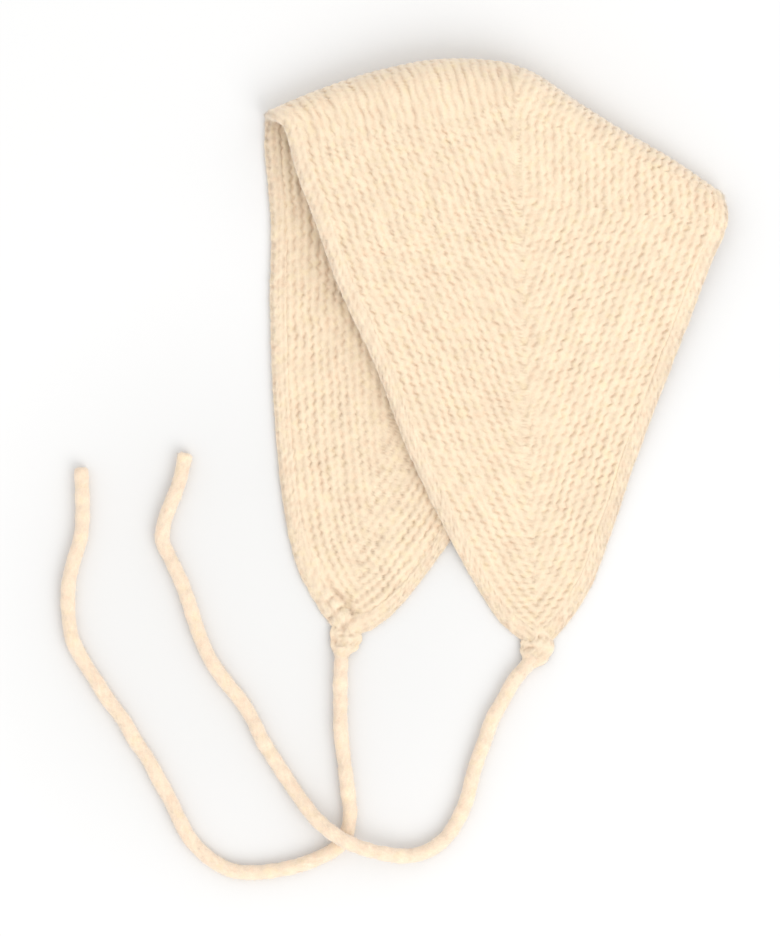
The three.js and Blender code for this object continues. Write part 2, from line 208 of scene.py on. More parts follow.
def normals_of(points, triangles):
    """The normal at each point: the direction of the sum of those of its triangles."""
    p, q, r = (points[triangles[:, i]] for i in range(3))
    facing = np.cross(q - p, r - p)
    total = np.zeros_like(points)
    for i in range(3):
        for axis in range(3):
            total[:, axis] += np.bincount(triangles[:, i], facing[:, axis], len(points))
    return unit(total)


def fuzz(name, points, normals, count, body_slot, seed):
    """Loose ends of wool that stand off a surface: each a closed needle on three sides, from a random
    place on it that doesn't face down, leaning over at random and shaded like a face turned up."""
    rng = np.random.default_rng(seed)
    open_side = normals[:, 2] > LOWEST_FACING
    points, normals = points[open_side], normals[open_side]
    chosen = rng.integers(0, len(points), count)
    base, out = points[chosen], normals[chosen]
    lean = rng.normal(size=(count, 3))
    lean = unit(lean - out * (lean * out).sum(axis=1, keepdims=True))
    rise = rng.uniform(*FIBRE_RISES, (count, 1))
    along = lean * np.sqrt(1 - rise ** 2) + out * rise
    length = rng.uniform(*FIBRE_LENGTHS, (count, 1))
    side = unit(np.cross(along, out))
    other = np.cross(along, side)
    root = base - out * FIBRE_ROOT
    corners = [root + FIBRE_WIDTH * (side * math.cos(turn) + other * math.sin(turn))
               for turn in (0, 2 * math.pi / 3, 4 * math.pi / 3)]
    needle = np.stack([*corners, base + along * length], axis=1).reshape(-1, 3)
    needle[:, 2] = np.maximum(needle[:, 2], 0)
    first = 4 * np.arange(count)[:, None, None]
    faces = (first + np.array([(0, 2, 1), (0, 1, 3), (1, 2, 3), (2, 0, 3)])[None]).reshape(-1, 3)
    lit = unit(out + [0, 0, FIBRE_LIGHT])
    mesh_piece(name, needle, faces, LOOSE_WOOL, body_slot, normals=np.repeat(lit, 4, axis=0),
               depth=np.ones(len(needle)), tone=np.full(len(needle), FIBRE_TONE))


def tie_line(exit_place, axis, route):
    """The middle line of a tie at equal steps: a smooth curve through its route, which starts a little
    way inside the gathered tip."""
    lift = TIE_DIAMETER + TIE_CLEARANCE
    points = np.stack([
        exit_place[0] + route[:, 0],
        exit_place[1] + route[:, 1],
        TIE_DIAMETER / 2 + route[:, 2] * lift,
    ], axis=1)
    root = points[0] - np.array([*axis, 0]) * TIE_ROOT
    points = np.vstack([root, points])
    ends = np.vstack([2 * points[0] - points[1], points, 2 * points[-1] - points[-2]])
    before, low, high, after = ends[:-3], ends[1:-2], ends[2:-1], ends[3:]
    share = np.linspace(0, 1, CURVE_STEPS, endpoint=False)[None, :, None]
    before, low, high, after = (part[:, None, :] for part in (before, low, high, after))
    curve = 0.5 * (
        2 * low + (high - before) * share
        + (2 * before - 5 * low + 4 * high - after) * share ** 2
        + (3 * low - before - 3 * high + after) * share ** 3)
    curve = np.vstack([curve.reshape(-1, 3), points[-1]])
    run = run_along(curve)
    stations = np.linspace(0, run[-1], round(run[-1] / TIE_STEP) + 1)
    return stations, np.stack([np.interp(stations, run, curve[:, i]) for i in range(3)], axis=1)


def tube_faces(rings, sides):
    """The faces of a closed tube: one of four corners between each two rings and sides, and a row of
    such faces across each end ring."""
    number = np.arange(rings * sides).reshape(rings, sides)
    beside = np.roll(number, -1, axis=1)
    wall = np.stack([number[:-1], beside[:-1], beside[1:], number[1:]], axis=-1).reshape(-1, 4)
    row = np.arange(sides // 2 - 1)
    caps = [np.stack([ring[row], ring[row + 1], ring[-2 - row], ring[-1 - row]], axis=1)
            for ring in (number[0][::-1], number[-1])]
    return np.vstack([wall, *caps])


def felted_tie(name, node, exit_place, axis, route, seed):
    """A tie: a round tube about its line, a little uneven, slightly flattened where it lies, that
    narrows in a quarter circle to a cut end. Its surface has the lumps of the felt, and the faint ribs
    of the cord under it as sines along the tie."""
    run, line = tie_line(exit_place, axis, route)
    along = unit(np.gradient(line, run, axis=0))
    side = unit(np.cross(along, [0, 0, 1.0]))
    up = np.cross(side, along)
    turn = np.linspace(0, 2 * math.pi, TIE_SIDES, endpoint=False)
    left = run[-1] - run
    end = np.sqrt(1 - (TIE_END_FALL * (1 - np.clip(left / TIE_END_ROUND, 0, 1))) ** 2)
    wander = waves(seed, *TIE_WANDER)(run)
    radius = TIE_DIAMETER / 2 * (1 + TIE_UNEVEN * wander) * end
    lumps = waves(seed + 1, *FELT_LUMPS)
    once, thrice = FELT_SHIFTS
    felt = lumps(run[:, None] + once * np.sin(turn)[None, :] + thrice * np.cos(3 * turn)[None, :])
    rib = np.sin(2 * math.pi * run[:, None] / RIB_PITCH + RIB_TURN * np.cos(turn)[None, :])
    relief = (FELT_RELIEF * felt + RIB_RELIEF * rib) * end[:, None]
    out = radius[:, None] + relief
    points = rings_about(line, side, up, out * np.cos(turn), out * np.sin(turn))
    # The colour follows the felt lumps and the ribs, darker where they dip: painted shade.
    height = TIE_SHADE + FELT_SHADE * felt + RIB_SHADE * rib
    piece = mesh_piece(
        name, points.reshape(-1, 3), tube_faces(len(run), TIE_SIDES)[:, ::-1], TIE_WOOL, "tie",
        depth=np.clip(height, 0, 1).ravel(), tone=np.repeat(0.5 + TIE_TONE * wander, TIE_SIDES))
    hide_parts(node)
    outward = unit(points - line[:, None, :])
    fuzz(name + "_fuzz", points.reshape(-1, 3), outward.reshape(-1, 3), TIE_FIBRES, "tie", seed)


# The places of the share, the two colours and the result on a node that mixes colours.
MIX_SHARE, MIX_FIRST, MIX_SECOND, MIX_RESULT = 0, 6, 7, 2
YARN_TINTS = ((0.3, (1.0, 0.95, 0.925, 1)), (0.5, (1, 1, 1, 1)), (0.7, (1.0, 0.995, 0.93, 1)))
YARN_PATCHES = {"Scale": 260, "Detail": 2}
YARN_TONES = {"To Min": 0.95, "To Max": 1.03}
FIBRE_GRAIN = {"Scale": 1500, "Detail": 3, "Distortion": 1.2}
FIBRE_SPECKLE = {"From Min": 0.3, "From Max": 0.7, "To Min": 0.93, "To Max": 1.05}
FIBRE_BUMP = {"Strength": 0.5, "Distance": 0.0004}
WOOL_FINISH = {
    "Roughness": 0.95, "Specular IOR Level": 0.15, "Sheen Weight": 0.7, "Sheen Roughness": 0.6,
    "Sheen Tint": (1.0, 0.97, 0.94, 1),
}


def add_node(tree, kind, fixed=None, **settings):
    """A new node of a material or a group, with its settings and the fixed values of its inputs."""
    made = tree.nodes.new("ShaderNode" + kind)
    for key, value in settings.items():
        setattr(made, key, value)
    for key, value in (fixed or {}).items():
        made.inputs[key].default_value = value
    return made


def wool_colours():
    """A node group that gives the colour of the wool from the height of the stitch and its own tone:
    pale cream on the crests, darker and warmer in the gaps as painted shade, with faint pinkish and
    yellowish yarn. The tone also carries the painted shade of the dark spots at the tips."""
    group = bpy.data.node_groups.new("wool_colours", "ShaderNodeTree")
    for name, kind in (("Depth", "Float"), ("Tone", "Float"), ("Gap", "Color"), ("Crest", "Color")):
        group.interface.new_socket(name, in_out="INPUT", socket_type="NodeSocket" + kind)
    for name, kind in (("Colour", "Color"), ("Height", "Float")):
        group.interface.new_socket(name, in_out="OUTPUT", socket_type="NodeSocket" + kind)
    link = group.links.new
    given = group.nodes.new("NodeGroupInput").outputs
    result = group.nodes.new("NodeGroupOutput").inputs
    place = add_node(group, "TexCoord").outputs["Object"]

    # Painted shade: the darker gap colour where the stitch is low, the crest colour where it is high.
    base = add_node(group, "Mix", data_type="RGBA")
    link(given["Depth"], base.inputs[MIX_SHARE])
    link(given["Gap"], base.inputs[MIX_FIRST])
    link(given["Crest"], base.inputs[MIX_SECOND])

    patches = add_node(group, "TexNoise", YARN_PATCHES)
    link(place, patches.inputs["Vector"])
    hue = add_node(group, "ValToRGB")
    hue.color_ramp.elements.new(0.5)
    for element, (position, colour) in zip(hue.color_ramp.elements, YARN_TINTS):
        element.position = position
        element.color = colour
    link(patches.outputs["Fac"], hue.inputs["Fac"])
    tint = add_node(group, "Mix", {MIX_SHARE: 1}, data_type="RGBA", blend_type="MULTIPLY")
    link(base.outputs[MIX_RESULT], tint.inputs[MIX_FIRST])
    link(hue.outputs["Color"], tint.inputs[MIX_SECOND])

    # Not clamped, so that the far lower tone at the tip marks makes them much darker, as painted shade.
    shade = add_node(group, "MapRange", YARN_TONES, clamp=False)
    link(given["Tone"], shade.inputs["Value"])
    grain = add_node(group, "TexNoise", FIBRE_GRAIN)
    link(place, grain.inputs["Vector"])
    link(grain.outputs["Fac"], result["Height"])
    speckle = add_node(group, "MapRange", FIBRE_SPECKLE)
    link(grain.outputs["Fac"], speckle.inputs["Value"])
    both = add_node(group, "Math", operation="MULTIPLY")
    link(shade.outputs["Result"], both.inputs[0])
    link(speckle.outputs["Result"], both.inputs[1])
    scaled = add_node(group, "VectorMath", operation="SCALE")
    link(tint.outputs[MIX_RESULT], scaled.inputs[0])
    link(both.outputs["Value"], scaled.inputs["Scale"])
    link(scaled.outputs["Vector"], result["Colour"])
    return group


WOOL_COLOURS = wool_colours()


def wool(name, gap, crest):
    """The wool of one piece: rough, with a soft sheen of loose fibres, coloured by the node group."""
    material = bpy.data.materials.new(name)
    material.use_nodes = True
    tree = material.node_tree
    surface = tree.nodes["Principled BSDF"].inputs
    for socket, value in WOOL_FINISH.items():
        surface[socket].default_value = value
    colours = add_node(tree, "Group", {"Gap": (*gap, 1), "Crest": (*crest, 1)}, node_tree=WOOL_COLOURS)
    for key, socket in (("depth", "Depth"), ("tone", "Tone")):
        value = add_node(tree, "Attribute", attribute_name=key)
        tree.links.new(value.outputs["Fac"], colours.inputs[socket])
    tree.links.new(colours.outputs["Colour"], surface["Base Color"])
    bump = add_node(tree, "Bump", FIBRE_BUMP)
    tree.links.new(colours.outputs["Height"], bump.inputs["Height"])
    tree.links.new(bump.outputs["Normal"], surface["Normal"])
    return material


# The loose fibres are paler and whiter than the knitting: painted sheen of their whitish halo.
LOOSE_WOOL = wool("loose_wool", (0.90, 0.79, 0.67), (0.90, 0.79, 0.67))
# The tie's gap colour is darker and warmer than its crest colour: painted shade in the dips of the felt.
TIE_WOOL = wool("tie_wool", (0.82, 0.645, 0.485), (0.92, 0.755, 0.585))

_, near_exit, near_axis = gather_ends("near_tip_gather", NEAR_GATHER_TURN)
far_gather_middle, far_exit, far_axis = gather_ends("far_tip_gather", FAR_GATHER_TURN)
felted_tie("near_felt_tie", "near_tie", near_exit, near_axis, NEAR_TIE_ROUTE, 11)
felted_tie("far_felt_tie", "far_tie", far_exit, far_axis, FAR_TIE_ROUTE, 23)


# The bonnet itself is one knitted sheet in garter stitch, folded over its middle line. Each half is two
# triangular panels whose ridges run beside the face edge and the nape edge and meet in a V on a mitre
# line, from the ear tip to the crown. Each panel is a closed sheet of its own, with a wall of 2.5 mm.
FOLD_CHORD = 0.190
FOLD_SLOPE = math.radians(-10)
FOLD_RISE = 0.0365
CROWN_SHARE = 0.52
NEAR_DROP = 0.2387
NEAR_SWING = math.radians(2)
FAR_DROP = 0.2447
FAR_SWING = math.radians(-17.2)
NEAR_FACE_BELLY = 0.012
NEAR_NAPE_BELLY = 0.009
FAR_FACE_BELLY = 0.015
FAR_NAPE_BELLY = 0.009
CREST_HEIGHT = 0.011
FOLD_ROUND = 0.014
CROWN_LOFT = 0.021
LOFT_REACH = 0.200
LOFT_FALL = 1.6
WALL = 0.0025
RIDGES = 28
RIDGE_PITCH = 0.0034
STITCH_PITCH = 0.0040
EDGING_WIDTH = 0.0046
CLEARANCE = 0.0004
LAYER_GAP = 0.0008
DRAPE_LENGTH = 0.024
RIM_AT_TIP = 1.6
MITRE_BLEND = 0.12
MITRE_WIDTH = 0.030
RIM_EASE = (0.8, 1)
ROWS_AT_EDGE = 0.62
SHORTEST_STEP = 0.4
LEVEL_PASSES = 4

# The fold from the forehead to the nape: share along it, then shares of its rise, crest, round and loft.
FOLD = np.array([
    (0.0, 0.0, 0.6, 0.45, 0.5), (0.035, 0.13, 0.62, 0.5, 0.53), (0.1, 0.345, 0.68, 0.58, 0.6),
    (0.22, 0.68, 0.8, 0.75, 0.75), (0.36, 0.94, 0.94, 0.92, 0.92), (0.52, 1.0, 1.0, 1.0, 1.0),
    (0.66, 0.715, 0.92, 0.92, 0.8), (0.76, 0.505, 0.82, 0.8, 0.62), (0.88, 0.28, 0.68, 0.62, 0.42),
    (1.0, 0.0, 0.55, 0.45, 0.28),
])
RISE, CREST, ROUND, LOFT = 1, 2, 3, 4

# Each edge from the fold to the tip: the share of the way, then the share of its belly.
NEAR_FACE_EDGE = np.array([
    (0.0, 0.0), (0.03, -0.38), (0.1, -0.10), (0.2, 0.13), (0.3, 0.40), (0.45, 0.52), (0.6, 0.84),
    (0.72, 0.92), (0.84, 0.88), (0.93, 0.66), (1.0, 0.0),
])
NEAR_NAPE_EDGE = np.array([
    (0.0, 0.0), (0.03, 0.53), (0.065, 0.68), (0.12, 0.64), (0.3, 0.72), (0.55, 0.82), (0.72, 1.05),
    (0.85, 1.08), (0.94, 0.62), (1.0, 0.0),
])
FAR_FACE_EDGE = np.array([
    (0.0, 0.0), (0.05, 0.14), (0.2, 0.28), (0.35, 0.62), (0.55, 0.93), (0.72, 1.05), (0.84, 0.95),
    (0.93, 0.52), (1.0, 0.0),
])
FAR_NAPE_EDGE = np.array([
    (0.0, 0.0), (0.3, 0.1), (0.6, 0.4), (0.75, 0.78), (0.88, 1.0), (0.95, 0.72), (1.0, 0.0),
])


def read(table, column, at):
    """The value in a table's column at places, on a smooth cubic curve through its rows, whose slope at
    a row is that between its two neighbours."""
    place, value = table[:, 0], table[:, column]
    after = np.minimum(np.arange(len(place)) + 1, len(place) - 1)
    before = np.maximum(np.arange(len(place)) - 1, 0)
    slope = (value[after] - value[before]) / (place[after] - place[before])
    at = np.asarray(at, float)
    row = np.clip(np.searchsorted(place, at, side="left") - 1, 0, len(place) - 2)
    step = place[row + 1] - place[row]
    share = np.clip((at - place[row]) / step, 0, 1)
    ease = share * share * (3 - 2 * share)
    leave = step * slope[row] * share * (1 - share) ** 2
    arrive = step * slope[row + 1] * share * share * (share - 1)
    return value[row] + (value[row + 1] - value[row]) * ease + leave + arrive


def turned(x, y, angle):
    """Plan points turned about the drawing's origin."""
    c, s = math.cos(angle), math.sin(angle)
    return np.stack([x * c - y * s, x * s + y * c], axis=-1)


def fold_line(along):
    """The outermost line of the fold: its chord and its rise, turned by its slope."""
    along = np.asarray(along, float)
    return turned(FOLD_CHORD * along, FOLD_RISE * read(FOLD, RISE, along), FOLD_SLOPE)


CROWN = fold_line(CROWN_SHARE)
NEAR_TIP = CROWN + turned(0.0, -NEAR_DROP, NEAR_SWING)
FAR_TIP = CROWN + turned(0.0, -FAR_DROP, FAR_SWING)

# The drawing has the forehead corner at its origin. The far gathered tip shows where it lies.
far_middle = FAR_TIP + far_axis * (GATHER_LENGTH / 2 - GATHER_COVER)
SHIFT = far_gather_middle - far_middle


class Panel:
    """One panel: its half, its corner on the fold, its tip and its edge, as seen from above."""

    def __init__(self, near, start, tip, belly, edge):
        self.near, self.start, self.tip, self.belly, self.edge = near, start, tip, belly, edge
        self.corner = fold_line(start)
        side = tip - self.corner
        self.length = float(np.hypot(*side))
        self.side = side / self.length
        x, y = self.side
        self.outward = np.array([y, -x]) if start == 0 else np.array([-y, x])
        self.band = -float((CROWN - self.corner) @ self.outward)


NEAR_FACE = Panel(True, 0, NEAR_TIP, NEAR_FACE_BELLY, NEAR_FACE_EDGE)
NEAR_NAPE = Panel(True, 1, NEAR_TIP, NEAR_NAPE_BELLY, NEAR_NAPE_EDGE)
FAR_FACE = Panel(False, 0, FAR_TIP, FAR_FACE_BELLY, FAR_FACE_EDGE)
FAR_NAPE = Panel(False, 1, FAR_TIP, FAR_NAPE_BELLY, FAR_NAPE_EDGE)


def plan(panel, run, level):
    """Places on a panel seen from above: the straight line from the fold to the mitre at a level, moved
    out by the belly of the edge, which fades towards the crown."""
    run, level = run[..., None], level[..., None]
    start = fold_line(panel.start + (CROWN_SHARE - panel.start) * level[..., 0])
    mitre = panel.tip + (CROWN - panel.tip) * level
    out = panel.belly * read(panel.edge, 1, run) * (1 - level)
    return start + (mitre - start) * run + panel.outward * out


def underlay(spot):
    """How much of the far half's thickness lies under a spot: 1 inside its nape edge, 0 well beyond."""
    offset = spot - FAR_NAPE.corner
    run = np.clip(offset @ FAR_NAPE.side / FAR_NAPE.length, 0, 1)
    edge = FAR_NAPE.belly * read(FAR_NAPE_EDGE, 1, run)
    return smooth(edge - offset @ FAR_NAPE.outward, -DRAPE_LENGTH, 0)


def mitre_ease(panel, spot):
    """How much the reach from the fold is shortened beside the mitre, so that the puffed surface runs
    over it without a crease: a quadratic blend of the reach measured by both panels."""
    offset = spot - CROWN
    reaches = []
    for corner in (NEAR_FACE.corner, NEAR_NAPE.corner):
        basis = np.stack([corner - CROWN, panel.tip - CROWN], axis=1)
        reaches.append((offset @ np.linalg.inv(basis).T)[..., 1] * NEAR_DROP)
    near_mitre = np.maximum(MITRE_WIDTH - np.abs(reaches[0] - reaches[1]), 0) / MITRE_WIDTH
    return near_mitre ** 2 * MITRE_WIDTH / 4


def middle_of_wall(panel, run, level):
    """The middle of the wall in space: a quarter ellipse up from the fold, then the height at which the
    half lies. The near half lies on the far one and is puffed by the air in it, most at the crown."""
    along = panel.start + (CROWN_SHARE - panel.start) * level
    spot = plan(panel, run, level)
    own = (1 - run) ** 2 * (1 + MITRE_BLEND) / (1 - run + MITRE_BLEND)
    crest, round_share, loft = (
        read(FOLD, column, along) * own + read(FOLD, column, CROWN_SHARE) * (1 - own)
        for column in (CREST, ROUND, LOFT))
    reach = run * (1 - level) * NEAR_DROP
    turn = np.minimum(1, reach / (FOLD_ROUND * round_share))
    bend = np.sqrt(1 - (1 - turn) ** 2)
    lie = np.full(run.shape, WALL / 2)
    if panel.near:
        puff = np.maximum(0, 1 - (reach - mitre_ease(panel, spot)) / LOFT_REACH) ** LOFT_FALL
        lie = lie + (WALL + LAYER_GAP) * underlay(spot) + CROWN_LOFT * loft * puff
    height = CREST_HEIGHT * crest * (1 - bend) + lie * bend
    return np.concatenate([spot + SHIFT, height[..., None]], axis=-1)


def rim_level(panel, run):
    """The level of the knitting's rim, inside the edging."""
    width = EDGING_WIDTH + CLEARANCE
    twin = NEAR_FACE if panel.start == 0 else NEAR_NAPE
    ease = smooth(run, *RIM_EASE)
    return width / twin.band * (1 - ease) + RIM_AT_TIP * width / NEAR_DROP * ease


def panel_grid(panel, rows, bend_steps, step):
    """The places of a panel on rows beside its edge: their index in the list of points, run and level,
    and the number of points.

    Stations stand close together round the fold, then at equal steps, and those past the mitre fall on
    the row's last point. The rows stand closer beside the edge, where they spread at the tip."""
    share = np.linspace(0, 1, rows + 1)[:, None]
    share = share * (ROWS_AT_EDGE + (1 - ROWS_AT_EDGE) * share)
    along = panel.start + (CROWN_SHARE - panel.start) * (
        rim_level(panel, np.zeros(1)) * (1 - share) + share)
    bend = FOLD_ROUND * read(FOLD, ROUND, along)
    turn = np.linspace(0, math.pi / 2, bend_steps, endpoint=False)[None, :]
    count = int(NEAR_DROP / step) + 2
    reach = np.concatenate([
        bend * (1 - np.cos(turn)),
        bend + step * np.arange(count)[None, :],
    ], axis=1)
    run = np.clip(reach / NEAR_DROP / np.maximum(1 - share, 1e-9), 0, 1)
    for _ in range(LEVEL_PASSES):
        level = rim_level(panel, run) * (1 - share) + share
        run = np.clip(reach / NEAR_DROP / np.maximum(1 - level, 1e-9), 0, 1)
    run[:, 0] = 0
    last = (run < 1 - 1e-6).sum(axis=1)
    last[-1] = 0
    run[np.arange(rows + 1), np.minimum(last, run.shape[1] - 1)] = 1
    near_end = (1 - run) * (1 - level) * NEAR_DROP < SHORTEST_STEP * step
    run = np.where(near_end, 1.0, run)
    run[:-1, 0] = 0
    last = (run < 1).sum(axis=1)
    last[-1] = 0
    start = np.concatenate([[0], np.cumsum(last + 1)])
    station = np.minimum(np.arange(run.shape[1])[None, :], last[:, None])
    index = start[:-1, None] + station
    level = rim_level(panel, run) * (1 - share) + share
    return index, run, level, start[-1]


def gathered(index, values, total):
    """The values of a grid as one list, each shared point once."""
    result = np.zeros((total, *values.shape[2:]))
    result[index.ravel()] = values.reshape(-1, *values.shape[2:])
    return result


def grid_triangles(index):
    """Two triangles for each cell of the grid, without those that have shrunk to a line."""
    a, b, c, d = index[:-1, :-1], index[:-1, 1:], index[1:, 1:], index[1:, :-1]
    triangles = np.concatenate([
        np.stack([a, b, c], axis=-1).reshape(-1, 3),
        np.stack([a, c, d], axis=-1).reshape(-1, 3),
    ])
    p, q, r = triangles.T
    return triangles[(p != q) & (q != r) & (r != p)]


# The gaps between the ridges, in ridges and in shares of the relief, and how much stitches differ.
GAP_SLANT = 0.13
GAP_WIDTH = 0.165
GAP_DEPTH = 0.74
GAP_BRIDGE = 0.30
GAP_BREAK = 0.14
LEAN_SPREAD = 0.5
BREAK_SPREAD = 3
SHIFT_SPREAD = 0.07
WIDTH_SPREAD = 0.25
DEPTH_SPREAD = 0.6
GAP_DROP = 1.4
RIDGE_SWELL = 0.36
YARN_SWELL = 0.12
STITCH_DRIFT = 0.3
DRIFT_ALONG = 0.31
DRIFT_ACROSS = 1.9
STITCHES_KEPT = 160
RIDGES_BEFORE = 3
RIDGES_AFTER = 4


def garter(ridge, stitch, fade, seed):
    """The relief of garter stitch, from -1 in the gaps to 1 on the crests, and the tone of its yarn.

    A gap is a bell-shaped dip at every whole number of ridges. It winds to and fro once a stitch as a
    sine, and a cosine of the same length and one of half of it make it deep within a stitch and
    shallow between stitches. Stitches differ a little in lean, place, width, depth and tone. Where
    fade is 0, beside the mitre, the gaps run straight and even, so that those of both panels meet."""
    rng = np.random.default_rng(seed)
    ridges = RIDGES_BEFORE + RIDGES + RIDGES_AFTER + 1
    table = rng.uniform(-1, 1, (ridges, STITCHES_KEPT, 5))
    phases = rng.uniform(0, 1, ridges)
    dip = np.zeros(ridge.shape)
    tone = np.zeros(ridge.shape)
    nearest = np.round(ridge).astype(int)
    for offset in (-1, 0, 1):
        number = np.clip(nearest + offset, -RIDGES_BEFORE, RIDGES + RIDGES_AFTER) + RIDGES_BEFORE
        drift = STITCH_DRIFT * np.sin(DRIFT_ALONG * stitch + DRIFT_ACROSS * number)
        place = stitch + phases[number] + drift
        cell = np.floor(place).astype(int)
        ease = smooth(place, cell, cell + 1)[..., None]
        own = (table[number, cell % STITCHES_KEPT] * (1 - ease)
               + table[number, (cell + 1) % STITCHES_KEPT] * ease) * fade[..., None]
        lean, shift, width, depth, hue = np.moveaxis(own, -1, 0)
        slant = GAP_SLANT * np.sin(2 * math.pi * place) * (1 + LEAN_SPREAD * lean) * fade
        centre = number - RIDGES_BEFORE - slant + SHIFT_SPREAD * shift
        wide = GAP_WIDTH * (1 + WIDTH_SPREAD * width)
        bridged = GAP_BRIDGE * np.cos(2 * math.pi * place) * fade
        broken = GAP_BREAK * np.cos(4 * math.pi * place + BREAK_SPREAD * lean) * fade
        deep = (GAP_DEPTH - bridged - broken) * (1 + DEPTH_SPREAD * depth)
        dip += deep * np.exp(-((ridge - centre) / wide) ** 2)
        if offset == 0:
            tone = hue
    swell = 0.5 + 0.5 * np.cos(2 * math.pi * ridge)
    return 1 - GAP_DROP * dip - RIDGE_SWELL * swell + YARN_SWELL * tone, tone


EDGE_POINTS = 480
OVERRUN_POINTS = 99
OVERRUN_STEP = 0.0008
SPOTS_AT_ONCE = 4000


def edge_line(panel):
    """A panel's outer edge as close points in plan, carried on straight past the fold, with its
    directions and the length run from the fold."""
    runs = np.linspace(0, 1, EDGE_POINTS)
    line = plan(panel, runs, np.zeros(runs.shape))
    start = line[0] - panel.side * np.arange(OVERRUN_POINTS, 0, -1)[:, None] * OVERRUN_STEP
    line = np.vstack([start, line])
    length = run_along(line)
    length -= length[len(start)]
    return line, unit(np.gradient(line, length, axis=0)), length


def measured_from(edge, spots):
    """The distance of each spot in plan from an edge, and the length run along the edge to its nearest
    point, both on the edge's straight pieces, in batches."""
    line, along, length = edge
    distances, lengths = [], []
    for part in np.array_split(spots, max(1, len(spots) // SPOTS_AT_ONCE)):
        nearest = ((part[:, None, :] - line[None, :, :]) ** 2).sum(-1).argmin(axis=1)
        offset, way = part - line[nearest], along[nearest]
        distances.append(np.abs(offset[:, 0] * way[:, 1] - offset[:, 1] * way[:, 0]))
        lengths.append(length[nearest] + (offset * way).sum(-1))
    return np.concatenate(distances), np.concatenate(lengths)


# The few chunky stitches at the tips, as soft ovals: right, up, half length, half width, turn and
# height, which is in units of the relief.
TIP_MARKS = (
    (-0.0545, -0.1032, 0.0007, 0.0006, 0.0, -1.5),
    (-0.0674, -0.0954, 0.0018, 0.0014, -0.8, 2.4),
    (-0.0638, -0.0990, 0.0018, 0.0014, -0.8, 2.6),
    (-0.0596, -0.1037, 0.0018, 0.0018, 0.0, 3.4),
    (-0.0668, -0.1024, 0.0016, 0.0013, -0.8, 2.0),
    (-0.0638, -0.1072, 0.0016, 0.0013, -0.5, 2.0),
    (-0.0656, -0.0972, 0.0018, 0.0006, 0.7, -2.4),
    (-0.0618, -0.1013, 0.0018, 0.0006, 0.7, -2.6),
    (-0.0653, -0.1048, 0.0016, 0.0006, 0.6, -2.0),
    (-0.0655, -0.1005, 0.0040, 0.0006, -0.85, -1.8),
    (-0.0624, -0.0953, 0.0050, 0.0012, -0.62, -1.8),
    (-0.0575, -0.1004, 0.0030, 0.0010, -1.25, -1.6),
    (-0.0567, -0.1041, 0.0020, 0.0011, -1.5, -1.4),
    (-0.0598, -0.1080, 0.0026, 0.0010, 0.6, -1.4),
    (-0.0613, -0.1124, 0.0015, 0.0006, 0.0, -1.5),
    (-0.0572, -0.1124, 0.0015, 0.0006, 0.0, -1.5),
    (-0.0512, -0.1026, 0.0055, 0.0008, 0.5, -1.0),
    (0.0159, -0.1114, 0.0022, 0.0007, -0.9, -1.6),
    (0.0202, -0.1130, 0.0008, 0.0008, 0.0, -1.3),
    (0.0229, -0.1132, 0.0014, 0.0006, -0.9, -1.2),
    (0.0161, -0.1146, 0.0007, 0.0007, 0.0, -1.0),
    (0.0152, -0.1173, 0.0009, 0.0006, 0.0, -1.8),
    (0.0172, -0.1173, 0.0009, 0.0006, 0.0, -1.8),
    (0.0270, -0.1093, 0.0015, 0.0006, 0.9, -1.0),
    (0.0106, -0.1087, 0.0016, 0.0006, -0.9, -1.0),
    (0.0190, -0.1150, 0.0016, 0.0012, 0.3, 0.8),
    (0.0222, -0.1165, 0.0016, 0.0012, 0.9, 0.8),
    (0.0175, -0.1195, 0.0016, 0.0010, 0.2, 0.7),
)

# The painted shade there, dark spots and streaks in the small holes and deep gaps of the stitches and
# beside
# the rolled chunky ones: the same, with a tone instead of the height.
TIP_SHADES = (
    (-0.0545, -0.1032, 0.0006, 0.0005, 0.0, -5.0),
    (-0.0656, -0.0972, 0.0016, 0.0005, 0.7, -0.9),
    (-0.0618, -0.1013, 0.0016, 0.0006, 0.7, -1.1),
    (-0.0653, -0.1048, 0.0016, 0.0005, 0.6, -0.8),
    (-0.0624, -0.0953, 0.0050, 0.0014, -0.62, -2.0),
    (-0.0575, -0.1004, 0.0030, 0.0011, -1.25, -1.8),
    (-0.0567, -0.1041, 0.0020, 0.0012, -1.5, -1.8),
    (-0.0598, -0.1080, 0.0026, 0.0011, 0.6, -1.8),
    (-0.0613, -0.1124, 0.0014, 0.0005, 0.0, -2.5),
    (-0.0572, -0.1124, 0.0014, 0.0005, 0.0, -2.5),
    (-0.0512, -0.1026, 0.0055, 0.0009, 0.5, -1.0),
    (0.0159, -0.1114, 0.0020, 0.0006, -0.9, -2.2),
    (0.0202, -0.1130, 0.0008, 0.0008, 0.0, -1.8),
    (0.0229, -0.1132, 0.0013, 0.0005, -0.9, -1.4),
    (0.0161, -0.1146, 0.0007, 0.0007, 0.0, -1.2),
    (0.0162, -0.1173, 0.0019, 0.0006, 0.0, -3.5),
)


def tip_stitches(spots):
    """The relief of the chunky stitches and the painted shade in the tone that both tables add at places in
    plan: each row is a bell over a turned oval, and the rows are summed."""
    sums = []
    for table in (TIP_MARKS, TIP_SHADES):
        total = np.zeros(spots.shape[:-1])
        for x, y, long_half, short_half, turn, height in table:
            right, up = spots[..., 0] - x, spots[..., 1] - y
            long = (right * math.cos(turn) + up * math.sin(turn)) / long_half
            short = (up * math.cos(turn) - right * math.sin(turn)) / short_half
            total += height * np.exp(-(long ** 2 + short ** 2))
        sums.append(total)
    return sums


def as_share(value):
    """A relief or a tone of -1 to 1 as a share of 0 to 1."""
    return value * 0.5 + 0.5


